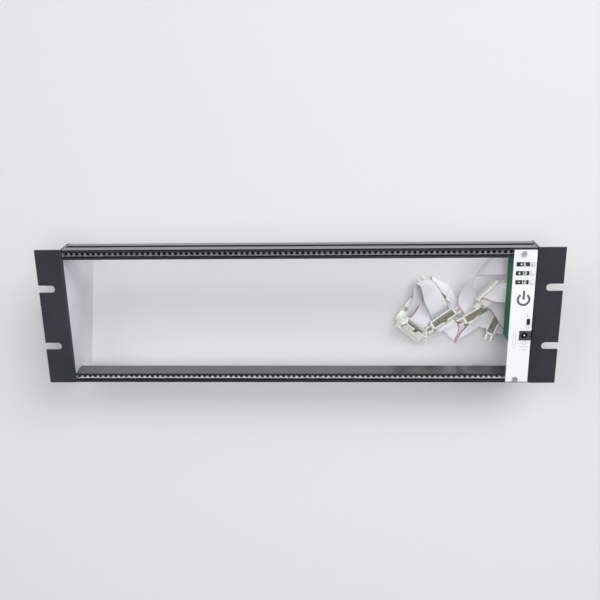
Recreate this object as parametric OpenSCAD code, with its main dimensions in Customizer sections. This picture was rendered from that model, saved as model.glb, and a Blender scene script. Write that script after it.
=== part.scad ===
// 3U, 84 HP subrack card cage with one power module and its bus cables.
// It stands on the slanted rear edges of its two side plates, front up.
// Millimetres. X is the width, Z is up, the front leans back from the table.

/* [Cage] */
// overall width over both rack ears
rack_w = 482.6; // [380:0.1:600]
// clear width between the side plates
bay_w = 431; // [340:0.5:550]
// height of the ears
ear_h = 132.55; // [105:0.05:180]
// thickness of the bracket sheet
sheet_t = 2; // [1:0.1:3]
// outside radius of the bend between ear and side plate
bend_r = 3; // [2.2:0.1:5]
// depth of a side plate at its bottom edge
plate_low = 53; // [45:0.5:70]
// slant of the rear edge away from the vertical, degrees
plate_slant = 22; // [12:0.5:30]
// depth of the side plate at its top front shoulder
shoulder_d = 25; // [24:0.5:40]

/* [Rack notches] */
// width of an ear notch
notch_w = 7.2; // [5:0.1:9]
// depth of an ear notch from the outer edge
notch_l = 15.3; // [8:0.1:18]
// height of the lower notch
notch_z = 37.7; // [30:0.1:45]
// distance between the notches
notch_gap = 57.15; // [40:0.05:70]

/* [Rails] */
// depth of the rail's outer web
rail_d = 23; // [18:0.5:30]
// depth of the rail's inner web
rail_inner_d = 19; // [12:0.5:22]
// height of the rail's front face
rail_h = 9.2; // [9:0.1:13]
// wall of the extrusion
rail_t = 1.7; // [1.2:0.1:2.5]
// height of the front slot
slot_h = 4.4; // [4:0.1:6]
// distance between the upper and lower row of threaded holes
row_gap = 122.5; // [95:0.5:150]
// hole pitch, one HP
pitch = 5.08; // [4:0.01:7]
// number of holes on each side of the middle one
half_n = 42; // [20:1:60]
// radius of a threaded hole
thread_r = 1.5; // [1:0.05:2.5]
// depth of the strip's face behind the rail's front
strip_y = 4.2; // [3:0.1:7]

/* [Module] */
// width of the module's front panel
panel_w = 20.3; // [15:0.1:40]
// height of the module's front panel
panel_h = 128.5; // [100:0.5:160]
// thickness of the panel
panel_t = 2; // [1:0.1:3]
// gap between the panel and the right side plate
panel_gap = 0.3; // [0.1:0.1:2]
// depth of the printed circuit board
board_d = 24; // [16:1:60]
// thickness of the board
board_t = 1.6; // [1:0.1:2.4]
// travel of the slide switch
switch_travel = 2; // [1:0.1:3]

/* [Bus cable] */
// width of the flat cable
cable_w = 20.3; // [12:0.1:26]
// thickness of the flat cable
cable_t = 0.9; // [0.6:0.05:1.2]
// half length of a bus socket's body
sock_l = 14; // [12:0.5:18]
// half width of a bus socket
sock_w = 4.4; // [3.5:0.1:6]
// height of a bus socket above the cable
sock_h = 8.9; // [6:0.1:12]
// reach of the end prongs
prong_l = 6; // [3:0.5:8]

/* [Hidden] */
$fn = 32;
// clearance between pieces that seat in each other
fit_gap = 0.15;
half_bay = bay_w / 2;
half_rack = rack_w / 2;
plate_top_y = shoulder_d;
plate_top_z = ear_h - 0.15;
// rear corner where the slanted edge meets the square top edge
s_t = sin(plate_slant);
c_t = cos(plate_slant);
foot_len = plate_top_z * c_t + (plate_top_y - plate_low) * s_t;
rear_y = plate_low + foot_len * s_t;
rear_z = foot_len * c_t;
mid_y = (plate_top_y * s_t + plate_top_z * c_t) / 2;
lift = plate_low * c_t;
mid_z = ear_h / 2;
top_row = mid_z + row_gap / 2;
low_row = mid_z - row_gap / 2;
rail_out = 4.825;
strip_h = slot_h + 1.3;
strip_t = 3;
chan_y = strip_y - fit_gap;
chan_h = strip_h + 2 * fit_gap;
chan_back = strip_y + strip_t + fit_gap;
boss_y = [13.4, 19.8];
boss_r = 3;
boss_bore = 2.1;
px0 = half_bay - panel_gap - panel_w;
panel_z0 = mid_z - panel_h / 2;
screw_x = 40 * pitch;
board_x = px0 + 1.1;
face_x = board_x + board_t;
board_z0 = panel_z0 + 38;
board_z1 = panel_z0 + 119;
jack_x = px0 + 14.3;
jack_z = panel_z0 + 46.6;
jack_h = 9.4;
led_x = px0 + 17.5;
led_z = [98.6, 107.1, 115.5];
led_r = 2.25;
switch_x = px0 + 17;
switch_z = panel_z0 + 59.3;
slider_w = 2.4;
slider_h = 3;
head_r = 2.6;
sock_x = face_x + 6.4;
sock_z = [panel_z0 + 103.5, panel_z0 + 75.5];
cable_y = 36;
header_y = 17;
header_l = 13.9;
plug_l = 12.6;
shift = half_bay - 215.5;

// resting places of the seven bus sockets: x, y, z, roll, tilt, turn
POSES = [
  [110, -16, 12.6, -38, -25, -34],
  [110.6, 1.8, 5.2, -90, 0, 54],
  [143.8, -6.6, 8.4, -20, 0, 34],
  [174, 1, 11.5, 5, 0, 29],
  [196, -8.5, 7.5, -20, 0, 64],
  [184, 21.5, 30.5, 100, 0, 41],
  [134.8, 23.4, 6.2, 0, 0, -43]];

function pose_at(n) = [POSES[n][0] + shift, POSES[n][1], POSES[n][2]];
function long_dir(n) = dir(POSES[n][5], POSES[n][4]);
// direction in which the cable runs through a socket
function run_dir(n) =
  let(r = POSES[n][3], b = POSES[n][4], a = POSES[n][5])
  let(u = sin(r) * sin(-b), v = cos(r), w = sin(r) * cos(-b))
  [cos(a) * u - sin(a) * v, sin(a) * u + cos(a) * v, w];
function dir(a, t) = [cos(a) * cos(t), sin(a) * cos(t), sin(t)];
// a cross line of a cable: middle point and half-width vector
function cut(x, y, z, a, t = 0, k = 1) = [[x + shift, y, z], dir(a, t) * k * cable_w / 2];
// the two cross lines on either side of a socket
function through(n, s, a, b, f = 1) = [
  [pose_at(n) - run_dir(n) * s * a, long_dir(n) * f * cable_w / 2],
  [pose_at(n) + run_dir(n) * s * b, long_dir(n) * f * cable_w / 2]];
// a point of the leaning cage in the standing frame
function stand(p) = [p[0], p[1] * s_t + p[2] * c_t - mid_y, lift - p[1] * c_t + p[2] * s_t];
function leave(n, dx) = [stand([sock_x + dx, cable_y, sock_z[n]]), dir(90, plate_slant) * cable_w / 2];

LAY_A = concat(
  [leave(0, 2.5), leave(0, -8), cut(188, 45, 55, 90, 24), cut(180, 43.5, 53, 88, 38),
   cut(173.5, 41, 50, 80, 62), cut(168, 36, 44.5, 50, 84), cut(164.5, 29.5, 36.5, 25, 76),
   cut(163.5, 22.5, 27, 18, 58), cut(165, 14.5, 20, 20, 22), cut(169.2, 8.2, 16.6, 27, 5)],
  through(3, -1, 5, 5),
  [cut(175, -9, 8, 22), cut(170, -15, 6, 20), cut(166.5, -19, 5, 28), cut(164, -21.5, 3.4, 36),
   cut(162, -20.5, 1.7, 50), cut(156, -18, 1.2, 90), cut(150.5, -17.5, 1.2, 116),
   cut(147.5, -18, 1.6, 130, 0, 1.1), cut(146.2, -18.8, 3.2, 138, 0, 1.15),
   cut(147, -17, 5.8, 150, 0, 1.1), cut(148.9, -14, 8.2, 200)],
  through(2, 1, 5.3, 5.2, -1),
  [cut(139.5, 1, 10.5, 214), cut(138.6, 4.5, 17.4, 214), cut(134.5, 11, 21.3, 215, 3),
   cut(130.5, 19, 23.5, 216, 12), cut(127, 26, 25.5, 217, 30), cut(123, 31, 25.5, 222, 50),
   cut(117.5, 31, 22.5, 205, 66), cut(116.6, 27, 21, 190, 62), cut(117, 21, 21, 188, 60),
   cut(116.8, 15, 20.5, 192, 55), cut(115.3, 9.5, 19.5, 205, 42), cut(113, 5.5, 17.5, 222, 20),
   cut(111.4, 3, 14.5, 232, 5)],
  through(1, 1, 5, 3.4, -1));

LAY_B = concat(
  [leave(1, 2.5), leave(1, -5), cut(193, 19.5, 43, 68, 12), cut(188.5, 20.5, 41.5, 52, 4),
   cut(185.4, 21.2, 38.4, 44)],
  through(5, -1, 5, 5),
  [cut(184, 21.2, 23.3, 43), cut(185.8, 19.2, 22.5, 44), cut(189.5, 15.2, 22.5, 44),
   cut(194.5, 10.5, 22.3, 44), cut(200, 3.5, 20.5, 44),
   cut(204, -3, 19, 46), cut(207.5, -7.5, 16.5, 52), cut(209, -9.5, 13, 56), cut(207.5, -10.6, 9.5, 60),
   cut(203.2, -11.6, 9.3, 64)],
  through(4, 1, 5, 5),
  [cut(187.5, -5, 4.4, 68), cut(180, -2.5, 2.4, 74), cut(170, -0.5, 1.3, 78), cut(160, 3, 1.2, 68),
   cut(152, 9, 1.2, 52), cut(146, 16.5, 1.2, 30), cut(143, 25, 1.2, 6), cut(142, 30.5, 1.5, -12),
   cut(141.8, 34, 3.2, -22, 0, 1.05), cut(141, 34, 5.2, -28, 0, 1.05), cut(140.2, 30, 6.2, -36)],
  through(6, -1, 5, 5),
  [cut(129, 13.5, 8, -42, -14), cut(125.5, 3, 10, -38, -16), cut(119.5, -5.8, 11.6, -34, -22)],
  through(0, -1, 5, 3.4));

black = [0.12, 0.12, 0.125];
rail_black = [0.09, 0.09, 0.1];
zinc = [0.8, 0.81, 0.83];
white = [0.93, 0.93, 0.95];
green = [0.08, 0.3, 0.22];
cream = [0.92, 0.93, 0.88];
grey = [0.25, 0.25, 0.27];
cable_grey = [0.86, 0.86, 0.9];
brass = [0.75, 0.65, 0.35];

// puts the upright cage into its leaning rest
module lean() {
  translate([0, -mid_y, lift]) rotate([plate_slant - 90, 0, 0]) children();
}

// a section drawn as depth and height, run along X
module along_x(len) {
  rotate([90, 0, 90]) linear_extrude(len) children();
}

module plate_outline() {
  polygon([[bend_r, 0], [plate_low, 0], [rear_y, rear_z], [plate_top_y, plate_top_z], [bend_r, ear_h]]);
}

// ear, bend and side plate of the right-hand bracket
module bracket() {
  difference() {
    union() {
      translate([half_bay, 0, 0]) along_x(sheet_t) plate_outline();
      linear_extrude(ear_h) translate([half_bay + bend_r, bend_r]) difference() {
        circle(r = bend_r);
        circle(r = bend_r - sheet_t);
        translate([0, -2 * bend_r]) square(4 * bend_r);
        translate([-2 * bend_r, 0]) square(4 * bend_r);
      }
      translate([half_bay + bend_r, 0, 0]) cube([half_rack - half_bay - bend_r, sheet_t, ear_h]);
    }
    for (z = [notch_z, notch_z + notch_gap]) translate([half_rack - notch_l + notch_w / 2, -1, z]) {
      rotate([-90, 0, 0]) cylinder(r = notch_w / 2, h = sheet_t + 2);
      translate([0, 0, -notch_w / 2]) cube([notch_l, sheet_t + 2, notch_w]);
    }
    for (y = boss_y, s = [-1, 1]) translate([half_bay - 1, y, mid_z + s * (row_gap / 2 - 0.6)])
      rotate([0, 90, 0]) cylinder(r = boss_bore + 0.15, h = sheet_t + 2);
  }
}

// rail section, drawn for the bottom rail with the hole row at height 0
module rail_section() {
  difference() {
    union() {
      translate([0, -rail_out]) square([chan_back + rail_t, rail_h]);
      translate([0, -rail_out]) square([rail_d, rail_t + 0.3]);
      translate([0, rail_h - rail_out - rail_t]) square([rail_inner_d, rail_t]);
      for (y = boss_y) {
        translate([y, 0.6]) circle(r = boss_r);
        translate([y - 1, -rail_out]) square([2, rail_out]);
      }
    }
    translate([chan_y, -chan_h / 2]) square([chan_back - chan_y, chan_h]);
    translate([-1, -slot_h / 2]) square([chan_y + 2, slot_h]);
    translate([9.4, -rail_out - 1]) square([5.8, 1.6]);
    translate([0, -rail_out - 1]) square([0.5, 1.4]);
    for (y = boss_y) translate([y, 0.6]) circle(r = boss_bore);
  }
}

module rail(top = false) {
  translate([-half_bay, 0, mid_z]) along_x(bay_w)
    scale([1, top ? -1 : 1]) translate([0, -row_gap / 2]) rail_section();
}

module strip(z) {
  len = 2 * half_n * pitch + 2.2;
  difference() {
    translate([-len / 2, strip_y, z - strip_h / 2]) cube([len, strip_t, strip_h]);
    for (i = [-half_n:half_n]) translate([i * pitch, strip_y - 1, z])
      rotate([-90, 0, 0]) cylinder(r = thread_r, h = strip_t + 2, $fn = 24);
  }
}

// flat-headed screws that hold the rails to the right side plate
module rail_screws() {
  for (y = boss_y, s = [-1, 1]) translate([half_bay + sheet_t, y, mid_z + s * (row_gap / 2 - 0.6)])
    rotate([0, 90, 0]) difference() {
      union() {
        cylinder(r = 2.9, h = 1.8);
        translate([0, 0, -sheet_t - 9]) cylinder(r = boss_bore - 0.05, h = sheet_t + 9.1);
      }
      translate([0, 0, 0.9]) cylinder(r = 1.3, h = 2, $fn = 6);
    }
}

module panel_plate() {
  difference() {
    translate([px0, -panel_t, panel_z0]) cube([panel_w, panel_t, panel_h]);
    for (z = [low_row, top_row]) translate([screw_x, -panel_t - 1, z])
      rotate([-90, 0, 0]) cylinder(r = thread_r + 0.2, h = panel_t + 2);
    for (z = led_z) translate([led_x, -panel_t - 1, panel_z0 + z])
      rotate([-90, 0, 0]) cylinder(r = led_r + fit_gap, h = panel_t + 2);
    translate([px0 + 9.3, -panel_t - 1, jack_z - jack_h / 2 - 0.1])
      cube([panel_w, panel_t + 2, jack_h + 0.2]);
    translate([switch_x - slider_w / 2 - 0.4, -panel_t - 1, switch_z - slider_h / 2 - 0.4])
      cube([slider_w + 0.8, panel_t + 2, slider_h + switch_travel + 0.8]);
  }
}

module front_screws() {
  for (z = [low_row, top_row]) translate([screw_x, -panel_t, z]) rotate([-90, 0, 0]) difference() {
    union() {
      translate([0, 0, -1.9]) cylinder(r = head_r, h = 1.9);
      cylinder(r = thread_r - 0.05, h = panel_t + strip_y + strip_t - 0.5);
    }
    for (a = [0, 90]) rotate([0, 0, a]) translate([-1.4, -0.3, -2.4]) cube([2.8, 0.6, 1.3]);
  }
}

module board() {
  translate([board_x, 2, board_z0]) cube([board_t, board_d, board_z1 - board_z0]);
}

// round lamp with its two bent legs, which end on the board
module led(z) {
  translate([led_x, 0, panel_z0 + z]) {
    rotate([-90, 0, 0]) translate([0, 0, -panel_t]) cylinder(r = led_r, h = panel_t + 4);
    translate([0, -panel_t, 0]) difference() {
      sphere(r = led_r);
      translate([-5, 0, -5]) cube(10);
    }
    rotate([-90, 0, 0]) cylinder(r = led_r + 0.5, h = 1);
    for (s = [-1, 1]) {
      translate([-0.25, 3.5, s * 1.27 - 0.25]) cube([0.5, 4, 0.5]);
      translate([face_x - led_x, 7, s * 1.27 - 0.25]) cube([led_x - face_x, 0.5, 0.5]);
    }
  }
}

module jack() {
  difference() {
    union() {
      translate([px0 + 9.4, -panel_t, jack_z - jack_h / 2]) cube([10.8, panel_t + 1.4, jack_h]);
      translate([face_x, 1, jack_z - jack_h / 2]) cube([px0 + 19.4 - face_x, 12, jack_h]);
    }
    translate([jack_x, -panel_t - 1, jack_z]) rotate([-90, 0, 0]) cylinder(r = 3, h = panel_t + 9);
  }
}

module jack_pin() {
  translate([jack_x, -panel_t + 1, jack_z]) rotate([-90, 0, 0]) cylinder(r = 1, h = 7 + panel_t);
  translate([jack_x, -panel_t + 1, jack_z]) sphere(r = 1);
}

module switch_case() {
  difference() {
    translate([face_x, fit_gap, switch_z - 4]) cube([px0 + 19.6 - face_x, 6, 10]);
    translate([switch_x - 2, -1, switch_z - 2.6]) cube([4, 4.6, slider_h + switch_travel + 2.2]);
  }
}

module slider() {
  translate([switch_x - slider_w / 2, -panel_t - 1.4, switch_z - slider_h / 2])
    cube([slider_w, panel_t + 3.4, slider_h]);
  translate([switch_x - 1.85, 1.4, switch_z - 2.4]) cube([3.7, 2, slider_h + 1.8]);
}

module header(n) {
  translate([0, 0, sock_z[n]]) difference() {
    translate([face_x, header_y, -header_l]) cube([11.2, 9.5, 2 * header_l]);
    translate([sock_x - 3.3, header_y + 2.5, -plug_l - 0.3]) cube([6.6, 10, 2 * plug_l + 0.6]);
    translate([sock_x, header_y + 2.5, -2.3]) cube([8, 10, 4.6]);
  }
}

// plug at the board end of a cable
module plug(n) {
  translate([0, 0, sock_z[n]]) {
    translate([sock_x - 3, header_y + 3, -plug_l]) cube([6, cable_y - 0.6 - header_y - 3, 2 * plug_l]);
    translate([sock_x + 3, header_y + 4, -2]) cube([1.1, 8, 4]);
  }
}

module plug_cap(n) {
  translate([sock_x - 3, cable_y + 0.6, sock_z[n] - plug_l]) cube([6, 2.8, 2 * plug_l]);
  for (s = [-1, 1]) translate([sock_x - 2, cable_y - 0.6, sock_z[n] + s * (plug_l - 1) - 1])
    cube([4, 1.3, 2]);
}

module at_pose(n) {
  translate(pose_at(n)) rotate([POSES[n][3], -POSES[n][4], POSES[n][5]]) children();
}

// open-topped bus socket with two prongs at each end
module bus_socket(n) {
  at_pose(n) {
    difference() {
      translate([-sock_l, -sock_w, 0.6]) cube([2 * sock_l, 2 * sock_w, sock_h]);
      translate([-sock_l + 1.8, -sock_w + 1.2, 3]) cube([2 * sock_l - 3.6, 2 * sock_w - 2.4, sock_h]);
      translate([-2.25, -sock_w - 1, 4.5]) cube([4.5, 4, sock_h]);
    }
    for (s = [-1, 1], u = [-1, 1]) translate([s * (sock_l + prong_l / 2), u * 2.6, 3.2])
      cube([prong_l + 0.2, 1.8, 3.4], center = true);
  }
}

module clamp(n) {
  at_pose(n) {
    translate([-sock_l, -sock_w, -2.8]) cube([2 * sock_l, 2 * sock_w, 2.2]);
    for (i = [-4:4]) translate([i * 2.54 - 0.65, -sock_w, -4]) cube([1.3, 2 * sock_w, 1.3]);
    for (s = [-1, 1]) translate([s * (sock_l - 1.4) - 1.2, -sock_w + 0.4, -0.7])
      cube([2.4, 2 * sock_w - 0.8, 1.3]);
  }
}

module pins() {
  for (n = [0:6]) at_pose(n) for (i = [0:7], s = [-1, 1])
    translate([(i - 3.5) * 2.54 - 0.3, s * 1.27 - 0.3, 3]) cube([0.6, 0.6, 4.8]);
}

// flat cable laid through a list of cross lines, eight corners to each
module cable(lay) {
  n = len(lay);
  pts = [for (i = [0:n - 1])
    let(p = lay[i][0], h = lay[i][1], u = h / norm(h))
    let(c = cross(lay[min(i + 1, n - 1)][0] - lay[max(i - 1, 0)][0], u))
    let(g = c / norm(c) * cable_t / 2, e = h - u * 0.3)
    each [p - h - g * 0.4, p - e - g, p + e - g, p + h - g * 0.4,
      p + h + g * 0.4, p + e + g, p - e + g, p - h + g * 0.4]];
  sides = [for (i = [0:n - 2], k = [0:7])
    let(a = i * 8 + k, b = i * 8 + (k + 1) % 8)
    each [[a, b + 8, b], [a, a + 8, b + 8]]];
  ends = [[for (k = [0:7]) k], [for (k = [7:-1:0]) (n - 1) * 8 + k]];
  polyhedron(pts, concat(sides, ends), convexity = 12);
}

module left_bracket() { color(black) lean() mirror([1, 0, 0]) bracket(); }
module right_bracket() { color(black) lean() bracket(); }
module top_rail() { color(rail_black) lean() rail(true); }
module bottom_rail() { color(rail_black) lean() rail(); }
module top_threaded_strip() { color(zinc) lean() strip(top_row); }
module bottom_threaded_strip() { color(zinc) lean() strip(low_row); }
module left_rail_screws() { color(zinc) lean() mirror([1, 0, 0]) rail_screws(); }
module right_rail_screws() { color(zinc) lean() rail_screws(); }
module module_panel() { color(white) lean() panel_plate(); }
module panel_screws() { color(zinc) lean() front_screws(); }
module power_board() { color(green) lean() board(); }
module status_led_1() { color(cream) lean() led(led_z[0]); }
module status_led_2() { color(cream) lean() led(led_z[1]); }
module status_led_3() { color(cream) lean() led(led_z[2]); }
module dc_jack_body() { color(grey) lean() jack(); }
module dc_jack_pin() { color(zinc) lean() jack_pin(); }
module switch_body() { color(grey) lean() switch_case(); }
module switch_slider() { color(black) lean() slider(); }
module board_header_a() { color(black) lean() header(0); }
module board_header_b() { color(black) lean() header(1); }
module cable_plug_a() { color(grey) lean() plug(0); }
module cable_plug_b() { color(grey) lean() plug(1); }
module plug_clamp_a() { color(grey) lean() plug_cap(0); }
module plug_clamp_b() { color(grey) lean() plug_cap(1); }
module bus_cable_a() { color(cable_grey) cable(LAY_A); }
module bus_cable_b() { color(cable_grey) cable(LAY_B); }
module socket_pins() { color(brass) pins(); }

left_bracket();
right_bracket();
top_rail();
bottom_rail();
top_threaded_strip();
bottom_threaded_strip();
left_rail_screws();
right_rail_screws();
module_panel();
panel_screws();
power_board();
status_led_1();
status_led_2();
status_led_3();
dc_jack_body();
dc_jack_pin();
switch_body();
switch_slider();
board_header_a();
board_header_b();
cable_plug_a();
cable_plug_b();
plug_clamp_a();
plug_clamp_b();
bus_cable_a();
bus_cable_b();
color(cream) bus_socket(0);  // bus_socket_1
color(cream) bus_socket(1);  // bus_socket_2
color(cream) bus_socket(2);  // bus_socket_3
color(cream) bus_socket(3);  // bus_socket_4
color(cream) bus_socket(4);  // bus_socket_5
color(cream) bus_socket(5);  // bus_socket_6
color(cream) bus_socket(6);  // bus_socket_7
color(cream) clamp(0);  // socket_clamp_1
color(cream) clamp(1);  // socket_clamp_2
color(cream) clamp(2);  // socket_clamp_3
color(cream) clamp(3);  // socket_clamp_4
color(cream) clamp(4);  // socket_clamp_5
color(cream) clamp(5);  // socket_clamp_6
color(cream) clamp(6);  // socket_clamp_7
socket_pins();
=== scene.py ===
# Open 3U card cage with a narrow power module and its flat bus cables, standing
# on the rear edges of its side plates with the front face up.
import math

import bmesh
import bpy
from bpy.props import FloatProperty, FloatVectorProperty
from mathutils import Euler, Matrix, Vector


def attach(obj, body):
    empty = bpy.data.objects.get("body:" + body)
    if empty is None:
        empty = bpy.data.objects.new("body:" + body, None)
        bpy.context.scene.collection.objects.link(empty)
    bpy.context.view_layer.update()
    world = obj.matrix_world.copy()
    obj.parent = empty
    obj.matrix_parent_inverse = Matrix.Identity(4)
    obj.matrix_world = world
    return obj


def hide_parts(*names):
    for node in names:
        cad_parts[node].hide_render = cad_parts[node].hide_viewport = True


bl_info = {
    "name": "Card cage",
    "version": (1, 0, 0),
    "blender": (4, 5, 0),
    "location": "View3D > Sidebar > Card cage",
    "description": "Finishes a subrack card cage with its power module and bus cables",
    "category": "Object",
}

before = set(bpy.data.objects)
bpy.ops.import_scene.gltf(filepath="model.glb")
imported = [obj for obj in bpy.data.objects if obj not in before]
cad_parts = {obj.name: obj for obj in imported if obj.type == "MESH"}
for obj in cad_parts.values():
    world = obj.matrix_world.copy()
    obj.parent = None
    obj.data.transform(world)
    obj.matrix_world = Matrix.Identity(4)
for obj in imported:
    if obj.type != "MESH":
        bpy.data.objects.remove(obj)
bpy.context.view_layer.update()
MM = 0.001

# The cage leans on its side plates: their rear edges are cut at this angle. In mm, a plate's
# depth at its foot, and the depth and height of the shoulder at its head.
LEAN_DEGREES = 22
LEAN = math.radians(LEAN_DEGREES)
DEPTH_LOW = 53.0
SHOULDER = (25.0, 132.4)
MID_Y = (SHOULDER[0] * math.sin(LEAN) + SHOULDER[1] * math.cos(LEAN)) / 2
LIFT = DEPTH_LOW * math.cos(LEAN)
# Heights up the leaning front, in mm: the rows of holes lie this far to both sides of the
# ears' middle. A slot lies on its row, and a rail's outer groove lies beyond it. These place
# the painted shade in the slots and grooves.
EAR_H = 132.55
UP = (0, math.cos(LEAN), math.sin(LEAN))
ROWS_MIDDLE = EAR_H / 2 - MID_Y * UP[1] + LIFT * UP[2]
ROWS_HALF = 61.25
SLOT_HALF = 2.3
GROOVE = 4.225
GROOVE_HALF = 0.3
# A face looks along an axis when its normal's share of that axis is over this. The leaning
# front still looks up.
FACING = 0.9

# Left edge, foot and thickness of the module's panel, in the cage's own upright frame.
PANEL_X = 194.9
PANEL_Z = 2.025
PANEL_T = 2.0
# How far a printed field, and a figure on top of one, stand proud of the panel.
FIELD_PROUD = 0.05
FIGURE_PROUD = 0.09
RING_STEPS = 40

# The bus sockets as they lie: x, y, z in mm, then roll, tilt and turn in degrees.
SOCKETS = {
    1: (110, -16, 12.6, -38, -25, -34),
    2: (110.6, 1.8, 5.2, -90, 0, 54),
    3: (143.8, -6.6, 8.4, -20, 0, 34),
    4: (174, 1, 11.5, 5, 0, 29),
    5: (196, -8.5, 7.5, -20, 0, 64),
    6: (184, 21.5, 30.5, 100, 0, 41),
    7: (134.8, 23.4, 6.2, 0, 0, -43),
}
# A socket in its own frame: half its length and width, its foot, its top, the floor of its
# recess, and the pitch of its contacts.
SOCK_L = 14.0
SOCK_W = 4.4
SOCK_FOOT = 0.6
SOCK_TOP = 9.5
RECESS_Z = 3.0
PITCH = 2.54
# Where the two cables leave the board, in the cage's own upright frame.
PLUG_X = 204.0
PLUG_Y = 36.0
PLUG_Z = {"a": 105.525, "b": 77.525}

# Flat cable: cores across its width, steps across a core, and steps along it between two
# given cross lines.
CORES = 16
CORE_STEPS = 4
LAY_STEPS = 5
# Shares of its thickness: between two cores, from there to a core's crest, and at its edges.
# The power rounds the cores.
VALLEY, RISE, EDGE = 0.55, 0.45, 0.12
ROUNDING = 0.7
# The marked first core, as a share of the width, and the length in mm that one unit of the
# UV map's v stands for.
MARKED = 0.05
UV_LENGTH = 100

# The camera's place in metres, its line of sight and its right-hand side.
CAMERA_PLACE = (0.03156, -0.02719, 0.82295)
CAMERA_LOOK = (-0.03975, 0.05195, -0.99783)
CAMERA_RIGHT = (0.99921, -0.00122, -0.03982)
# The floor's half width, and the distances between which it turns pale, in metres.
FLOOR_SIZE = 3.0
NEAR, FAR = 0.5, 1.4
# Each lamp's name, place and size in metres, and power in watts.
LAMPS = (
    ("key", (0.9, 0.9, 1.5), 1.2, 20),
    ("fill", (-1.0, 0.5, 1.5), 1.0, 8),
    ("overhead", (0.15, -0.15, 1.7), 0.8, 13),
)


def to_standing(x, y, z):
    """A point of the upright cage, in mm, as it stands on the table, in metres."""
    s, c = math.sin(LEAN), math.cos(LEAN)
    return Vector((x, y * s + z * c - MID_Y, LIFT - y * c + z * s)) * MM


def standing_matrix():
    """Turns a mesh drawn upright in metres into the leaning rest of the cage."""
    turn = Matrix.Rotation(LEAN - math.pi / 2, 4, "X")
    return Matrix.Translation((0, -MID_Y * MM, LIFT * MM)) @ turn


def socket_matrix(number):
    """Turns a socket drawn in its own frame, in metres, into its place on the table."""
    x, y, z, roll, tilt, turn = SOCKETS[number]
    angles = [math.radians(v) for v in (roll, -tilt, turn)]
    return Matrix.Translation(Vector((x, y, z)) * MM) @ Euler(angles, "XYZ").to_matrix().to_4x4()


# ---------------------------------------------------------------- materials


def linear(hex_colour):
    """An sRGB hex colour as the linear colour that a shader takes."""
    parts = [int(hex_colour[i : i + 2], 16) / 255 for i in (1, 3, 5)]
    return [v / 12.92 if v <= 0.04045 else ((v + 0.055) / 1.055) ** 2.4 for v in parts] + [1.0]


def add(tree, kind, settings=None, **links):
    """Adds one node with its settings. An input, by its name or as i and its number, takes a
    value or a link."""
    node = tree.nodes.new(kind)
    for key, value in (settings or {}).items():
        setattr(node, key, value)
    for key, value in links.items():
        numbered = key[0] == "i" and key[1:].isdigit()
        socket = node.inputs[int(key[1:]) if numbered else key.replace("_", " ")]
        if isinstance(value, bpy.types.NodeSocket):
            tree.links.new(value, socket)
        else:
            socket.default_value = value
    return node


def material(name):
    """An empty material: itself, its node tree and its output node."""
    made = bpy.data.materials.new(name)
    made.use_nodes = True
    tree = made.node_tree
    tree.nodes.clear()
    out = tree.nodes.new("ShaderNodeOutputMaterial")
    return made, tree, out


def grain(tree, scale_mm, detail=2.0, stretch=(1, 1, 1)):
    """Noise on the object's own coordinates, with its grain size in mm."""
    where = add(tree, "ShaderNodeTexCoord").outputs["Object"]
    scale = tuple(1000 / scale_mm * k for k in stretch)
    moved = add(tree, "ShaderNodeMapping", Vector=where, Scale=scale)
    noise = add(tree, "ShaderNodeTexNoise", Vector=moved.outputs[0], Scale=1.0, Detail=detail)
    return noise.outputs["Fac"]


def two_tone(tree, factor, dark, light, low=0.35, high=0.65):
    """A pattern's two colours, which blend where its factor lies between low and high."""
    ramp = add(tree, "ShaderNodeValToRGB", Fac=factor)
    ramp.color_ramp.elements[0].position = low
    ramp.color_ramp.elements[1].position = high
    ramp.color_ramp.elements[0].color = linear(dark)
    ramp.color_ramp.elements[1].color = linear(light)
    return ramp.outputs["Color"]


def powder_coat(name, dark, light, roughness):
    """Powder coat or ink: a faint orange peel of about 1.5 mm over an even satin colour."""
    made, tree, out = material(name)
    peel = grain(tree, 1.5, 3)
    cloud = grain(tree, 40, 3)
    rough = add(
        tree, "ShaderNodeMapRange", Value=peel, To_Min=roughness - 0.05, To_Max=roughness + 0.06
    )
    relief = add(tree, "ShaderNodeBump", Height=peel, Distance=0.03 * MM, Strength=0.5)
    shader = add(
        tree, "ShaderNodeBsdfPrincipled", Base_Color=two_tone(tree, cloud, dark, light),
        Roughness=rough.outputs[0], Normal=relief.outputs[0], IOR=1.5,
    )
    tree.links.new(shader.outputs[0], out.inputs[0])
    return made


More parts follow.
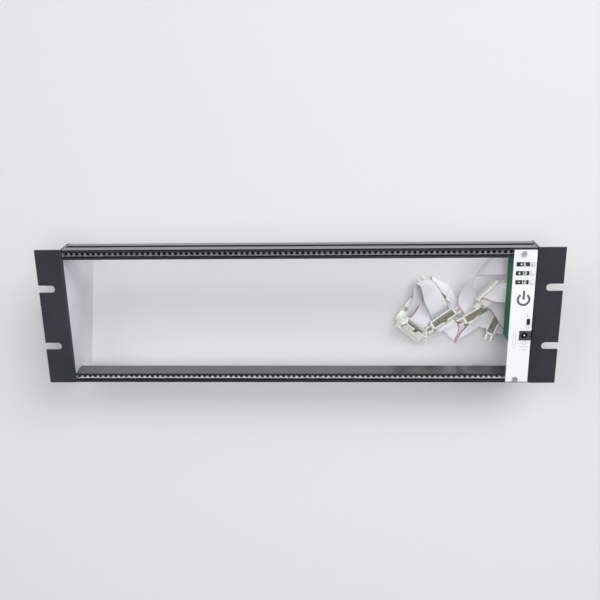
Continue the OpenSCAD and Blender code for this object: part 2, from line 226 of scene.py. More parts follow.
def bracket_finish(name):
    """Slate powder coat outside. The side plates' inner faces are painted light grey with faint
    streaks, as a painted reflection of the pale surroundings seen at a grazing angle.
    """
    made = powder_coat(name, "#2b2b33", "#32323a", 0.34)
    tree = made.node_tree
    coated = next(n for n in tree.nodes if n.type == "BSDF_PRINCIPLED")
    out = next(n for n in tree.nodes if n.type == "OUTPUT_MATERIAL")
    normal = add(tree, "ShaderNodeNewGeometry").outputs["True Normal"]
    facing = add(tree, "ShaderNodeSeparateXYZ", Vector=normal).outputs["X"]
    where = add(tree, "ShaderNodeTexCoord").outputs["Object"]
    place = add(tree, "ShaderNodeSeparateXYZ", Vector=where).outputs["X"]
    side = add(tree, "ShaderNodeMath", {"operation": "SIGN"}, i0=place).outputs[0]
    inward = add(tree, "ShaderNodeMath", {"operation": "MULTIPLY"}, i0=facing, i1=side).outputs[0]
    painted_reflection_mask = add(tree, "ShaderNodeMath", {"operation": "LESS_THAN"}, i0=inward, i1=-FACING).outputs[0]
    plate_streaks = grain(tree, 2.0, 3, (1, 0.05, 0.05))
    rough = add(tree, "ShaderNodeMapRange", Value=plate_streaks, To_Min=0.38, To_Max=0.5)
    relief = add(tree, "ShaderNodeBump", Height=plate_streaks, Distance=0.01 * MM, Strength=0.4)
    # Light grey base colour on the inner faces: a painted reflection, not the plate's own colour.
    painted_light_finish = add(
        tree, "ShaderNodeBsdfPrincipled", Base_Color=two_tone(tree, plate_streaks, "#c6c8d0", "#d3d5dc"),
        Roughness=rough.outputs[0], Normal=relief.outputs[0],
    )
    both = add(tree, "ShaderNodeMixShader", i0=painted_reflection_mask, i1=coated.outputs[0], i2=painted_light_finish.outputs[0])
    tree.links.new(both.outputs[0], out.inputs[0])
    return made


def slot_shade_mask(tree):
    """1 in the rails' slots and outer grooves, where shade is painted, found by their height up
    the slanted front.
    """
    place = add(tree, "ShaderNodeTexCoord").outputs["Object"]
    up = add(tree, "ShaderNodeVectorMath", {"operation": "DOT_PRODUCT"}, i0=place, i1=UP)
    height = up.outputs["Value"]
    minus, near = {"operation": "SUBTRACT"}, {"operation": "COMPARE"}
    apart = add(tree, "ShaderNodeMath", minus, i0=height, i1=ROWS_MIDDLE * MM).outputs[0]
    apart = add(tree, "ShaderNodeMath", {"operation": "ABSOLUTE"}, i0=apart).outputs[0]
    apart = add(tree, "ShaderNodeMath", minus, i0=apart, i1=ROWS_HALF * MM).outputs[0]
    slot = add(tree, "ShaderNodeMath", near, i0=apart, i1=0.0, i2=SLOT_HALF * MM).outputs[0]
    groove = add(tree, "ShaderNodeMath", near, i0=apart, i1=GROOVE * MM, i2=GROOVE_HALF * MM).outputs[0]
    return add(tree, "ShaderNodeMath", {"operation": "MAXIMUM"}, i0=slot, i1=groove).outputs[0]


def anodised(name, dark, light):
    """Black anodised extrusion: fine die lines along it, under a sealed skin that mirrors pale
    things at a low angle. Its slots and grooves are painted near-black and rough, as painted shade."""
    made, tree, out = material(name)
    lines = grain(tree, 0.6, 3, (0.004, 1, 1))
    rough = add(tree, "ShaderNodeMapRange", Value=lines, To_Min=0.24, To_Max=0.36)
    relief = add(tree, "ShaderNodeBump", Height=lines, Distance=0.01 * MM, Strength=0.4)
    skin = add(
        tree, "ShaderNodeBsdfPrincipled", Base_Color=two_tone(tree, lines, dark, light),
        Roughness=rough.outputs[0], Normal=relief.outputs[0],
        Coat_Weight=0.75, Coat_Roughness=0.16, Coat_IOR=1.7,
    )
    # Near-black rough shader for the slots and grooves: painted shade.
    painted_shade_finish = add(
        tree, "ShaderNodeBsdfPrincipled", Base_Color=linear("#0c0c0e"), Roughness=0.7, IOR=1.3
    )
    both = add(
        tree, "ShaderNodeMixShader", i0=slot_shade_mask(tree), i1=skin.outputs[0], i2=painted_shade_finish.outputs[0]
    )
    tree.links.new(both.outputs[0], out.inputs[0])
    return made


def plated(name, dark, light, roughness, scale_mm=3.0, metallic=1.0):
    """Zinc, nickel or gold plate over metal: bright, with small cloudy patches."""
    made, tree, out = material(name)
    patches = grain(tree, scale_mm, 4)
    rough = add(
        tree, "ShaderNodeMapRange", Value=patches, To_Min=roughness - 0.06, To_Max=roughness + 0.08
    )
    relief = add(tree, "ShaderNodeBump", Height=grain(tree, 0.5), Distance=0.01 * MM, Strength=0.4)
    shader = add(
        tree, "ShaderNodeBsdfPrincipled", Base_Color=two_tone(tree, patches, dark, light),
        Metallic=metallic, Roughness=rough.outputs[0], Normal=relief.outputs[0],
    )
    tree.links.new(shader.outputs[0], out.inputs[0])
    return made


def strip_finish(name, dark, light, metallic):
    """Zinc-plated strip. Its faces take the plate's colour, and the walls of its threaded holes are
    painted near-black as painted shade.
    """
    made = plated(name, dark, light, 0.42, metallic=metallic)
    tree = made.node_tree
    colour = next(n for n in tree.nodes if n.type == "BSDF_PRINCIPLED").inputs["Base Color"]
    plate = colour.links[0].from_socket
    # Faces that don't look along the panel's normal, the hole walls, get painted shade.
    normal = add(tree, "ShaderNodeNewGeometry").outputs["True Normal"]
    facing = add(tree, "ShaderNodeSeparateXYZ", Vector=normal).outputs["Z"]
    along = add(tree, "ShaderNodeMath", {"operation": "ABSOLUTE"}, i0=facing).outputs[0]
    flat = add(tree, "ShaderNodeMath", {"operation": "GREATER_THAN"}, i0=along, i1=FACING).outputs[0]
    colour_with_painted_hole_shade = add(
        tree, "ShaderNodeMix", {"data_type": "RGBA"}, Factor=flat, i6=linear("#2c2c2e"), i7=plate
    )
    tree.links.new(colour_with_painted_hole_shade.outputs[2], colour)
    return made


def moulded(name, dark, light, roughness, texture_mm=0.35, subsurface=0.0):
    """Moulded plastic: a fine spark-eroded texture and slight flow shading."""
    made, tree, out = material(name)
    fine = grain(tree, texture_mm, 2)
    flow = grain(tree, 9, 2)
    rough = add(
        tree, "ShaderNodeMapRange", Value=fine, To_Min=roughness - 0.05, To_Max=roughness + 0.07
    )
    relief = add(tree, "ShaderNodeBump", Height=fine, Distance=0.015 * MM, Strength=0.4)
    shader = add(
        tree, "ShaderNodeBsdfPrincipled", Base_Color=two_tone(tree, flow, dark, light),
        Roughness=rough.outputs[0], Normal=relief.outputs[0], IOR=1.5,
        Subsurface_Weight=subsurface, Subsurface_Radius=(0.002, 0.0015, 0.001), Subsurface_Scale=1.0,
    )
    tree.links.new(shader.outputs[0], out.inputs[0])
    return made


def solder_mask(name, dark, light):
    """Green solder mask: tracks show through as a slightly lighter pattern, 1.3 mm apart."""
    # A brick is half a unit long, so this many units to a metre make it 1.3 mm.
    units = 380
    made, tree, out = material(name)
    where = add(tree, "ShaderNodeTexCoord").outputs["Object"]
    scaled = add(
        tree, "ShaderNodeMapping", Vector=where, Scale=(units, units, units), Rotation=(-LEAN, 0, 0)
    )
    bricks = add(
        tree, "ShaderNodeTexBrick", Vector=scaled.outputs[0], Scale=1.0, Mortar_Size=0.05,
        Color1=(0, 0, 0, 1), Color2=(0.25, 0.25, 0.25, 1), Mortar=(1, 1, 1, 1),
    )
    tracks = bricks.outputs["Color"]
    relief = add(tree, "ShaderNodeBump", Height=tracks, Distance=0.03 * MM, Strength=0.5)
    shader = add(
        tree, "ShaderNodeBsdfPrincipled", Base_Color=two_tone(tree, tracks, dark, light, 0, 1),
        Roughness=0.5, Normal=relief.outputs[0], IOR=1.2,
    )
    tree.links.new(shader.outputs[0], out.inputs[0])
    return made


def ribbon_pvc(name, wire, gap, first):
    """Flat cable: sixteen grey PVC cores side by side, the first one marked pink-red. The valleys
    between the cores are painted darker, as painted shade.
    """
    made, tree, out = material(name)
    lay = add(tree, "ShaderNodeUVMap", {"uv_map": "lay"}).outputs[0]
    across = add(tree, "ShaderNodeSeparateXYZ", Vector=lay).outputs["X"]
    turns = CORES * math.pi * 2
    cores = add(tree, "ShaderNodeMath", {"operation": "MULTIPLY"}, i0=across, i1=turns).outputs[0]
    wave = add(tree, "ShaderNodeMath", {"operation": "COSINE"}, i0=cores).outputs[0]
    # The gap colour in the valleys between the cores is painted shade.
    clear_of_valley_shade = add(tree, "ShaderNodeMapRange", Value=wave, From_Min=1.0, From_Max=0.55).outputs[0]
    grey = two_tone(tree, clear_of_valley_shade, gap, wire, 0, 1)
    marked = add(tree, "ShaderNodeMath", {"operation": "LESS_THAN"}, i0=across, i1=MARKED).outputs[0]
    colour = add(
        tree, "ShaderNodeMix", {"data_type": "RGBA"}, Factor=marked, i6=grey, i7=linear(first)
    )
    rough = add(tree, "ShaderNodeMapRange", Value=grain(tree, 12, 2), To_Min=0.36, To_Max=0.5)
    relief = add(tree, "ShaderNodeBump", Height=grain(tree, 0.6), Distance=0.01 * MM, Strength=0.3)
    shader = add(
        tree, "ShaderNodeBsdfPrincipled", Base_Color=colour.outputs[2],
        Roughness=rough.outputs[0], IOR=1.5, Normal=relief.outputs[0],
        Subsurface_Weight=0.05, Subsurface_Radius=(0.002, 0.002, 0.002), Subsurface_Scale=1.0,
    )
    tree.links.new(shader.outputs[0], out.inputs[0])
    return made


def matt_paper(name, colour):
    """Matt studio paper, plain and without gloss.

    The lamps don't reach its far parts, so there the camera sees them as pale as the near ones.
    """
    made, tree, out = material(name)
    shader = add(tree, "ShaderNodeBsdfPrincipled", Roughness=0.9, Base_Color=[*colour, 1])
    place = add(tree, "ShaderNodeTexCoord").outputs["Object"]
    reach = add(tree, "ShaderNodeVectorMath", {"operation": "LENGTH"}, i0=place).outputs["Value"]
    far = add(tree, "ShaderNodeMapRange", Value=reach, From_Min=NEAR, From_Max=FAR).outputs[0]
    seen = add(tree, "ShaderNodeLightPath").outputs["Is Camera Ray"]
    share = add(tree, "ShaderNodeMath", {"operation": "MULTIPLY"}, i0=far, i1=seen).outputs[0]
    pale = add(tree, "ShaderNodeEmission", Color=(0.77, 0.77, 0.78, 1))
    both = add(tree, "ShaderNodeMixShader", i0=share, i1=shader.outputs[0], i2=pale.outputs[0])
    tree.links.new(both.outputs[0], out.inputs[0])
    return made


# ------------------------------------------------------------------- pieces


def paint(node, made):
    """Gives a CAD node its finish."""
    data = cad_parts[node].data
    data.materials.clear()
    data.materials.append(made)


def piece(name, bm, materials, smooth=False):
    """Turns a bmesh into a finished piece that rides on the cage."""
    bmesh.ops.recalc_face_normals(bm, faces=bm.faces)
    data = bpy.data.meshes.new(name)
    bm.to_mesh(data)
    bm.free()
    for one in materials:
        data.materials.append(one)
    for face in data.polygons:
        face.use_smooth = smooth
    item = bpy.data.objects.new(name, data)
    bpy.context.scene.collection.objects.link(item)
    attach(item, "cage")
    return item


def block(bm, low, high, edge=0.0, segments=2, index=0):
    """Adds a box between two corners in mm to a bmesh. Its edges are rounded by edge mm, and
    index is its material."""
    low, high = Vector(low) * MM, Vector(high) * MM
    made = bmesh.ops.create_cube(bm, size=1.0)["verts"]
    bmesh.ops.scale(bm, vec=high - low, verts=made)
    bmesh.ops.translate(bm, vec=(low + high) / 2, verts=made)
    for face in {f for v in made for f in v.link_faces}:
        face.material_index = index
    if edge:
        edges = list({e for v in made for e in v.link_edges})
        bmesh.ops.bevel(
            bm, geom=edges, offset=edge * MM, segments=segments, profile=0.5, affect="EDGES",
            material=-1,
        )


# ------------------------------------------------------------------- cables


def direction(turn, tilt=0.0):
    """A unit vector, turned round from X and tilted up by these degrees."""
    a, t = math.radians(turn), math.radians(tilt)
    return Vector((math.cos(a) * math.cos(t), math.sin(a) * math.cos(t), math.sin(t)))


def cut(x, y, z, turn, tilt=0.0, wide=1.0):
    """A cross line of a cable: its middle in mm, and its direction, as long as it is wide."""
    return Vector((x, y, z)), direction(turn, tilt) * wide


def through(number, side, before, after, flip=1):
    """The two cross lines before and after a socket, in mm from its middle.

    The side is the way in which the cable runs through it, and flip turns the cable over.
    """
    pose = socket_matrix(number).to_3x3()
    place = Vector(SOCKETS[number][:3])
    along, run = pose.col[0] * flip, pose.col[1] * side
    return [(place - run * before, along.copy()), (place + run * after, along.copy())]


def leave(plug, dx):
    """The cross line of a cable at its plug, dx mm to the right of the plug's middle."""
    place = to_standing(PLUG_X + dx, PLUG_Y, PLUG_Z[plug]) / MM
    return place, direction(90, LEAN_DEGREES)


# The routes, each from its plug to its last socket.
CABLE_A = (
    [leave("a", 2.5), leave("a", -8), cut(188, 45, 55, 90, 24), cut(180, 43.5, 53, 88, 38)]
    + [cut(173.5, 41, 50, 80, 62), cut(168, 36, 44.5, 50, 84), cut(164.5, 29.5, 36.5, 25, 76)]
    + [cut(163.5, 22.5, 27, 18, 58), cut(165, 14.5, 20, 20, 22), cut(169.2, 8.2, 16.6, 27, 5)]
    + through(4, -1, 5, 5)
    + [cut(175, -9, 8, 22), cut(170, -15, 6, 20), cut(166.5, -19, 5, 28), cut(164, -21.5, 3.4, 36)]
    + [cut(162, -20.5, 1.7, 50), cut(156, -18, 1.2, 90), cut(150.5, -17.5, 1.2, 116)]
    + [cut(147.5, -18, 1.6, 130, 0, 1.1), cut(146.2, -18.8, 3.2, 138, 0, 1.15)]
    + [cut(147, -17, 5.8, 150, 0, 1.1), cut(148.9, -14, 8.2, 200)]
    + through(3, 1, 5.3, 5.2, -1)
    + [cut(139.5, 1, 10.5, 214), cut(138.6, 4.5, 17.4, 214), cut(134.5, 11, 21.3, 215, 3)]
    + [cut(130.5, 19, 23.5, 216, 12), cut(127, 26, 25.5, 217, 30), cut(123, 31, 25.5, 222, 50)]
    + [cut(117.5, 31, 22.5, 205, 66), cut(116.6, 27, 21, 190, 62), cut(117, 21, 21, 188, 60)]
    + [cut(116.8, 15, 20.5, 192, 55), cut(115.3, 9.5, 19.5, 205, 42), cut(113, 5.5, 17.5, 222, 20)]
    + [cut(111.4, 3, 14.5, 232, 5)]
    + through(2, 1, 5, 3.4, -1)
)
CABLE_B = (
    [leave("b", 2.5), leave("b", -5), cut(193, 19.5, 43, 68, 12), cut(188.5, 20.5, 41.5, 52, 4)]
    + [cut(185.4, 21.2, 38.4, 44)]
    + through(6, -1, 5, 5)
    + [cut(184, 21.2, 23.3, 43), cut(185.8, 19.2, 22.5, 44), cut(189.5, 15.2, 22.5, 44)]
    + [cut(194.5, 10.5, 22.3, 44), cut(200, 3.5, 20.5, 44)]
    + [cut(204, -3, 19, 46), cut(207.5, -7.5, 16.5, 52), cut(209, -9.5, 13, 56)]
    + [cut(207.5, -10.6, 9.5, 60), cut(203.2, -11.6, 9.3, 64)]
    + through(5, 1, 5, 5)
    + [cut(187.5, -5, 4.4, 68), cut(180, -2.5, 2.4, 74), cut(170, -0.5, 1.3, 78), cut(160, 3, 1.2, 68)]
    + [cut(152, 9, 1.2, 52), cut(146, 16.5, 1.2, 30), cut(143, 25, 1.2, 6), cut(142, 30.5, 1.5, -12)]
    + [cut(141.8, 34, 3.2, -22, 0, 1.05), cut(141, 34, 5.2, -28, 0, 1.05), cut(140.2, 30, 6.2, -36)]
    + through(7, -1, 5, 5)
    + [cut(129, 13.5, 8, -42, -14), cut(125.5, 3, 10, -38, -16), cut(119.5, -5.8, 11.6, -34, -22)]
    + through(1, -1, 5, 3.4)
)


def smooth_lay(lay, steps):
    """Cross lines between the given ones, on a centripetal curve through them."""
    points = [p for p, _ in lay]
    knots = [0.0]
    for a, b in zip(points[:-1], points[1:]):
        knots.append(knots[-1] + (b - a).length ** 0.5)

    def blended(values, i, t):
        """The curve's point at a share t of the stretch that starts at value i."""
        j = [max(i - 1, 0), i, i + 1, min(i + 2, len(values) - 1)]
        v = [values[n] for n in j]
        k = [knots[n] for n in j]
        if j[0] == j[1]:
            v[0], k[0] = v[1] * 2 - v[2], k[1] - (k[2] - k[1])
        if j[3] == j[2]:
            v[3], k[3] = v[2] * 2 - v[1], k[2] + (k[2] - k[1])
        x = k[1] + (k[2] - k[1]) * t

        def mix(a, b, ka, kb):
            return a * ((kb - x) / (kb - ka)) + b * ((x - ka) / (kb - ka))

        first, second, third = (mix(v[n], v[n + 1], k[n], k[n + 1]) for n in range(3))
        return mix(mix(first, second, k[0], k[2]), mix(second, third, k[1], k[3]), k[1], k[2])

    widths = [w for _, w in lay]
    out = []
    for i in range(len(lay) - 1):
        for n in range(steps):
            t = n / steps
            wide = widths[i].lerp(widths[i + 1], t)
            size = widths[i].length * (1 - t) + widths[i + 1].length * t
            out.append((blended(points, i, t), wide.normalized() * size))
    out.append(lay[-1])
    return out


def flat_cable(name, lay, width, thick, made):
    """A ribbon of round cores side by side, swept through its cross lines."""
    rings = smooth_lay(lay, LAY_STEPS)
    bm = bmesh.new()
    uv = bm.loops.layers.uv.new("lay")
    count = CORE_STEPS * CORES
    rows, lengths = [], []
    along = 0.0
    for i, (middle, wide) in enumerate(rings):
        step = rings[min(i + 1, len(rings) - 1)][0] - rings[max(i - 1, 0)][0]
        up = step.cross(wide.normalized()).normalized()
        if i:
            along += (middle - rings[i - 1][0]).length
        row = []
        for face in (1, -1):
            for n in range(count + 1)[::face]:
                u = n / count
                ridge = VALLEY + RISE * abs(math.sin(math.pi * u * CORES)) ** ROUNDING
                height = thick / 2 * ridge if 0 < n < count else thick * EDGE
                place = middle + wide * width * (u - 0.5) + up * height * face
                row.append(bm.verts.new(place * MM))
        rows.append(row)
        lengths.append(along / UV_LENGTH)
    around = len(rows[0])
    us = [n / count for n in range(count + 1)]
    us += us[::-1]
    for i in range(len(rows) - 1):
        for k in range(around):
            j = (k + 1) % around
            face = bm.faces.new((rows[i][k], rows[i][j], rows[i + 1][j], rows[i + 1][k]))
            face.smooth = True
            places = [(us[n], lengths[m]) for n, m in ((k, i), (j, i), (j, i + 1), (k, i + 1))]
            for loop, place in zip(face.loops, places):
                loop[uv].uv = place
    bm.faces.new(rows[0])
    bm.faces.new(rows[-1][::-1])
    path = [tuple(m * MM) for m, _ in rings]
    return piece(name, bm, [made], smooth=True), path


# -------------------------------------------------------------------- print

# The strokes of plain figures: where each starts and ends on a grid one wide and two high.
STROKES = {
    "a": (0, 2, 1, 2), "b": (1, 1, 1, 2), "c": (1, 0, 1, 1), "d": (0, 0, 1, 0),
    "e": (0, 0, 0, 1), "f": (0, 1, 0, 2), "g": (0, 1, 1, 1), "|": (0.5, 0.5, 0.5, 1.5),
}
FIGURES = {"5": "afgcd", "1": "bc", "2": "abged", "+": "g|", "-": "g"}


def figures(bm, text, u, v, tall, stroke):
    """Plain figures in strokes, centred on a place of the panel, in mm."""
    half = tall / 2
    space = stroke * 2.4
    step = half + space
    left = u - (step * (len(text) - 1) + half) / 2
    for n, sign in enumerate(text):
        for key in FIGURES[sign]:
            x0, y0, x1, y1 = STROKES[key]
            low = (left + step * n + x0 * half - stroke / 2, v - half + y0 * half - stroke / 2)
            high = (left + step * n + x1 * half + stroke / 2, v - half + y1 * half + stroke / 2)
            patch(bm, low, high, FIGURE_PROUD)


def patch(bm, low, high, proud=FIELD_PROUD):
    """Adds a printed field between two corners of the panel, in mm to the right and up."""
    block(
        bm, (PANEL_X + low[0], -PANEL_T - proud, PANEL_Z + low[1]),
        (PANEL_X + high[0], -PANEL_T, PANEL_Z + high[1]),
    )


def ring_on(bm, u, v, radius, stroke, gap=0.0):
    """Adds a printed ring, u to the right and v up, with a gap in degrees at its head."""
    part = bmesh.new()
    start = math.radians(90 + gap / 2)
    rims = (radius - stroke / 2, radius + stroke / 2)
    ends = [part.verts.new(Vector((math.cos(start) * r, 0, math.sin(start) * r)) * MM) for r in rims]
    line = part.edges.new(ends)
    bmesh.ops.spin(
        part, geom=[*ends, line], cent=(0, 0, 0), axis=(0, -1, 0), dvec=(0, 0, 0),
        angle=math.radians(360 - gap), steps=RING_STEPS, use_merge=gap == 0,
    )
    place = Vector((PANEL_X + u, -PANEL_T - FIELD_PROUD, PANEL_Z + v)) * MM
    bmesh.ops.translate(part, verts=part.verts, vec=place)
    data = bpy.data.meshes.new("ring")
    part.to_mesh(data)
    part.free()
    bm.from_mesh(data)
    bpy.data.meshes.remove(data)


# --------------------------------------------------- settings and operators


class CageSettings(bpy.types.PropertyGroup):
    """Sizes and colours that can be changed"""

    cable_width: FloatProperty(
        name="Cable width", description="Width of the flat cable", default=0.0203, unit="LENGTH"
    )
    cable_thickness: FloatProperty(
        name="Cable thickness", description="Thickness of the flat cable", default=0.0009,
        unit="LENGTH",
    )
    lens: FloatProperty(name="Lens", description="Focal length of the camera in mm", default=48.34)
    floor_colour: FloatVectorProperty(
        name="Floor", description="Colour of the floor", subtype="COLOR", size=3,
        default=(0.66, 0.66, 0.67),
    )


class CAGE_OT_stage(bpy.types.Operator):
    """Camera, soft lamps and a plain pale floor"""

    bl_idname = "cage.stage"
    bl_label = "Stage"

    def execute(self, context):
        scene = context.scene
        settings = scene.card_cage
        scene.view_settings.view_transform = "Standard"
        lens = bpy.data.cameras.new("camera")
        lens.sensor_width, lens.lens = 36.0, settings.lens
        lens.clip_start, lens.clip_end = 0.01, 20
        camera = bpy.data.objects.new("camera", lens)
        look = Vector(CAMERA_LOOK).normalized()
        right = Vector(CAMERA_RIGHT).normalized()
        above = right.cross(look).normalized()
        turn = Matrix((right, above, -look)).transposed().to_4x4()
        camera.matrix_world = Matrix.Translation(CAMERA_PLACE) @ turn
        scene.collection.objects.link(camera)
        scene.camera = camera

        bm = bmesh.new()
        bmesh.ops.create_grid(bm, x_segments=1, y_segments=1, size=FLOOR_SIZE)
        data = bpy.data.meshes.new("floor")
        bm.to_mesh(data)
        bm.free()
        data.materials.append(matt_paper("matt_paper", settings.floor_colour))
        floor = bpy.data.objects.new("floor", data)
        scene.collection.objects.link(floor)

        # The sky is pale low down, and darker from about 30 degrees up.
        world = bpy.data.worlds.new("studio")
        scene.world = world
        world.use_nodes = True
        sky = world.node_tree
        toward = add(sky, "ShaderNodeTexCoord").outputs["Generated"]
        height = add(sky, "ShaderNodeSeparateXYZ", Vector=toward).outputs["Z"]
        back = sky.nodes["Background"]
        sky.links.new(two_tone(sky, height, "#f6f6f8", "#6c6c72", 0.40, 0.60), back.inputs["Color"])
        back.inputs["Strength"].default_value = 0.85
        for name, place, size, power in LAMPS:
            lamp = bpy.data.lights.new(name, "AREA")
            lamp.size, lamp.energy = size, power
            item = bpy.data.objects.new(name, lamp)
            item.location = place
            item.rotation_euler = (-Vector(place)).to_track_quat("-Z", "Y").to_euler()
            scene.collection.objects.link(item)
        return {"FINISHED"}


class CAGE_OT_cables(bpy.types.Operator):
    """The two flat bus cables"""

    bl_idname = "cage.cables"
    bl_label = "Bus cables"

    def execute(self, context):
        settings = context.scene.card_cage
        # The second colour is the painted shade in the valleys between the cores.
        made = ribbon_pvc("ribbon_pvc", "#f1f1f7", "#d2d2da", "#cc93a7")
        width, thick = settings.cable_width / MM, settings.cable_thickness / MM
        for letter, lay, on_it in (("a", CABLE_A, (4, 3, 2)), ("b", CABLE_B, (6, 5, 7, 1))):
            item, path = flat_cable("flat_cable_" + letter, lay, width, thick, made)
            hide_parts("bus_cable_" + letter)
            names = ["socket_%d" % n for n in on_it] + ["cover_%d" % n for n in on_it]
            names += ["cable_plug_" + letter, "plug_clamp_" + letter]
            if letter == "b":
                names.append("socket_pins")
        return {"FINISHED"}


def socket_body(bm):
    """A box socket in its own frame: floor, walls, key slot, and two latch prongs at each end."""
    # All in mm. The sill closes the foot of the key slot.
    clear, edge = 0.2, 0.2
    end_wall, side_wall = 1.8, 1.2
    key_half, sill_half, sill_top = 2.25, 2.6, 4.5
    prong_y, prong_half, prong_reach, prong_edge = 2.6, 0.9, 6, 0.35
    prong_foot, prong_top = 1.5, 4.9
    # The floor takes the second material, painted with the recess's shade.
    block(
        bm, (-SOCK_L + clear, -SOCK_W + clear, SOCK_FOOT), (SOCK_L - clear, SOCK_W - clear, RECESS_Z),
        index=1,
    )
    inner_l, inner_w = SOCK_L - end_wall, SOCK_W - side_wall
    walls = [((-SOCK_L, inner_w, SOCK_FOOT), (SOCK_L, SOCK_W, SOCK_TOP))]
    for side in (-1, 1):
        ends = sorted((side * inner_l, side * SOCK_L))
        walls.append(((ends[0], -SOCK_W, SOCK_FOOT), (ends[1], SOCK_W, SOCK_TOP)))
        half = sorted((side * key_half, side * SOCK_L))
        walls.append(((half[0], -SOCK_W, SOCK_FOOT), (half[1], -inner_w, SOCK_TOP)))
        for y in (-prong_y, prong_y):
            tip = sorted((side * (SOCK_L - clear), side * (SOCK_L + prong_reach)))
            block(
                bm, (tip[0], y - prong_half, prong_foot), (tip[1], y + prong_half, prong_top),
                prong_edge, 3,
            )
    walls.append(((-sill_half, -SOCK_W, SOCK_FOOT), (sill_half, -inner_w, sill_top)))
    for low, high in walls:
        block(bm, low, high, edge)


def clamp_body(bm):
    """The ribbed cover that presses the cable onto the socket's contacts."""
    # All in mm: the plate on the cable, its ribs, and a post through it at each end.
    edge, plate_edge, post_edge = 0.2, 0.3, 0.1
    plate_foot, plate_top = -2.8, -0.6
    rib_half, rib_foot, rib_top = 0.65, -4, -2.6
    post_x, post_half, post_y = SOCK_L - 1.4, 1.2, SOCK_W - 0.4
    post_foot, post_top = -0.8, 0.7
    block(bm, (-SOCK_L, -SOCK_W, plate_foot), (SOCK_L, SOCK_W, plate_top), plate_edge)
    for n in range(-4, 5):
        x = n * PITCH
        block(bm, (x - rib_half, -SOCK_W, rib_foot), (x + rib_half, SOCK_W, rib_top), edge)
    for x in (-post_x, post_x):
        low, high = (x - post_half, -post_y, post_foot), (x + post_half, post_y, post_top)
        block(bm, low, high, post_edge, 1)


class CAGE_OT_sockets(bpy.types.Operator):
    """Bus sockets and their covers, with softened edges"""

    bl_idname = "cage.sockets"
    bl_label = "Bus sockets"

    def execute(self, context):
        cream = moulded("cream_pbt", "#e9ece4", "#f1f3ec", 0.4, 0.35, 0.05)
        # The floor of the recess, full of contact holes, is painted a darker khaki as painted shade.
        recess_painted_shade = moulded("pbt_recess_painted_shade", "#9b9985", "#a7a590", 0.5)
        kinds = (
            ("socket", "bus_socket_%d", socket_body), ("cover", "socket_clamp_%d", clamp_body),
        )
        for number in SOCKETS:
            for kind, node, build in kinds:
                bm = bmesh.new()
                build(bm)
                bmesh.ops.transform(bm, matrix=socket_matrix(number), verts=bm.verts)
                item = piece("%s_%d" % (kind, number), bm, (cream, recess_painted_shade))
                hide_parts(node % number)
        return {"FINISHED"}


class CAGE_OT_print(bpy.types.Operator):
    """Plain printed marks on the module's panel"""

    bl_idname = "cage.print"
    bl_label = "Panel print"

    def execute(self, context):
        ink = powder_coat("black_screen_ink", "#1b1b1e", "#232326", 0.5)
        grey = powder_coat("grey_screen_ink", "#55555b", "#5f5f65", 0.5)
        pale = powder_coat("pale_screen_ink", "#a4a4aa", "#adadb3", 0.5)
        white = powder_coat("white_screen_ink", "#e9e9ec", "#f1f1f3", 0.5)
        # In mm on the panel: the labels' rows beside the three lamps, then a label's sides, half
        # its height and its middle, and its figures' height and stroke.
        rows = (98.6, 107.1, 115.5)
        left, right, half, middle = 2.3, 14.3, 2.05, 8.3
        tall, stroke = 2.7, 0.6

        labels = bmesh.new()
        values = bmesh.new()
        for v, text in zip(rows, ("-12", "+12", "+5")):
            patch(labels, (left, v - half), (right, v + half))
            figures(values, text, middle, v, tall, stroke)
        # The power symbol: the ring's middle, radius, stroke and gap, and the top of the bar.
        across, level, radius, wide, gap, top = 11, 82, 5.2, 2.0, 70, 90.4
        symbol = bmesh.new()
        ring_on(symbol, across, level, radius, wide, gap)
        patch(symbol, (across - wide / 2, level), (across + wide / 2, top))

        # The small marks: a tick, two rings, two dashes, two level lines and two upright ones.
        marks = bmesh.new()
        patch(marks, (15.4, 64.6), (16, 67.6))
        ring_on(marks, 16.4, 54.2, 1.3, 0.5)
        ring_on(marks, 14.6, 39.4, 1.5, 0.5)
        for u in (9.8, 16.9):
            patch(marks, (u, 39.2), (u + 2.6, 39.6))
        for v in (35.6, 32.4):
            patch(marks, (9.8, v - 0.2), (18.2, v + 0.2))
        for u in (4.0, 6.4):
            patch(marks, (u - 0.15, 33.4), (u + 0.15, 50.4))

        for name, bm, made in (
            ("label_fields", labels, ink), ("label_figures", values, white),
            ("power_symbol", symbol, grey), ("panel_marks", marks, pale),
        ):
            bmesh.ops.transform(bm, matrix=standing_matrix(), verts=bm.verts)
            piece(name, bm, [made])
        return {"FINISHED"}


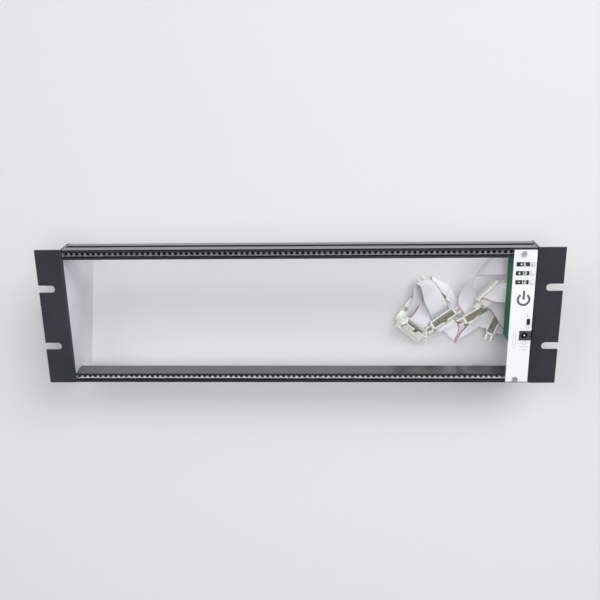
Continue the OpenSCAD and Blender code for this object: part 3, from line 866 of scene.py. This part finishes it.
class CAGE_OT_finishes(bpy.types.Operator):
    """Gives every part of the cage its material"""

    bl_idname = "cage.finishes"
    bl_label = "Finishes"

    def execute(self, context):
        steel = bracket_finish("slate_powder_coat")
        rail = anodised("black_anodised_aluminium", "#1e1d25", "#2a2932")
        # Both threaded strips are the same zinc: the bottom one is painted as a lit copy, the top one
        # as a shaded copy.
        painted_light_finish = strip_finish("zinc_plate_painted_lit", "#f4f5f7", "#fefefe", 0.15)
        painted_shade_finish = strip_finish("zinc_plate_painted_shaded", "#8e9096", "#a6a8ae", 0.4)
        screw = plated("zinc_screw", "#babcc0", "#dee0e3", 0.4, 1.0)
        white = powder_coat("white_powder_coat", "#e9e9ed", "#eeeef1", 0.42)
        board = solder_mask("green_solder_mask", "#044a33", "#0a6a4b")
        lens = moulded("diffused_lens", "#c9cbd0", "#dfe0e4", 0.25, 0.5, 0.2)
        jack = moulded("grey_nylon", "#3c3c42", "#46464c", 0.45)
        nickel = plated("nickel_plate", "#d0d0cf", "#f0efeb", 0.2, 1.0)
        black = moulded("black_abs", "#1c1c1e", "#262628", 0.45)
        grey = moulded("grey_pbt", "#77797c", "#838589", 0.45)
        gold = plated("plated_contacts", "#857c66", "#9d937a", 0.4, 1.0)
        use = {
            steel: ("left_bracket", "right_bracket"),
            rail: ("top_rail", "bottom_rail"),
            painted_shade_finish: ("top_threaded_strip",),
            painted_light_finish: ("bottom_threaded_strip",),
            screw: ("left_rail_screws", "right_rail_screws", "panel_screws"),
            white: ("module_panel",),
            board: ("power_board",),
            lens: ("status_led_1", "status_led_2", "status_led_3"),
            jack: ("dc_jack_body",),
            nickel: ("dc_jack_pin",),
            black: ("switch_body", "switch_slider", "board_header_a", "board_header_b"),
            grey: ("cable_plug_a", "cable_plug_b", "plug_clamp_a", "plug_clamp_b"),
            gold: ("socket_pins",),
        }
        for made, names in use.items():
            for name in names:
                paint(name, made)
        return {"FINISHED"}


class CAGE_PT_panel(bpy.types.Panel):
    """Buttons for the card cage"""

    bl_idname = "CAGE_PT_panel"
    bl_label = "Card cage"
    bl_space_type = "VIEW_3D"
    bl_region_type = "UI"
    bl_category = "Card cage"

    def draw(self, context):
        for name in ("cable_width", "cable_thickness", "lens", "floor_colour"):
            self.layout.prop(context.scene.card_cage, name)
        for name in STEPS:
            self.layout.operator("cage." + name)


CLASSES = (
    CageSettings, CAGE_OT_stage, CAGE_OT_sockets, CAGE_OT_cables, CAGE_OT_print, CAGE_OT_finishes,
    CAGE_PT_panel,
)
# The operators in the order in which they run.
STEPS = ("stage", "sockets", "cables", "print", "finishes")


def register():
    for one in CLASSES:
        bpy.utils.register_class(one)
    bpy.types.Scene.card_cage = bpy.props.PointerProperty(type=CageSettings)


def unregister():
    del bpy.types.Scene.card_cage
    for one in reversed(CLASSES):
        bpy.utils.unregister_class(one)


def main():
    """Builds the scene."""
    register()
    for name in STEPS:
        getattr(bpy.ops.cage, name)()


if __name__ == "__main__":
    main()
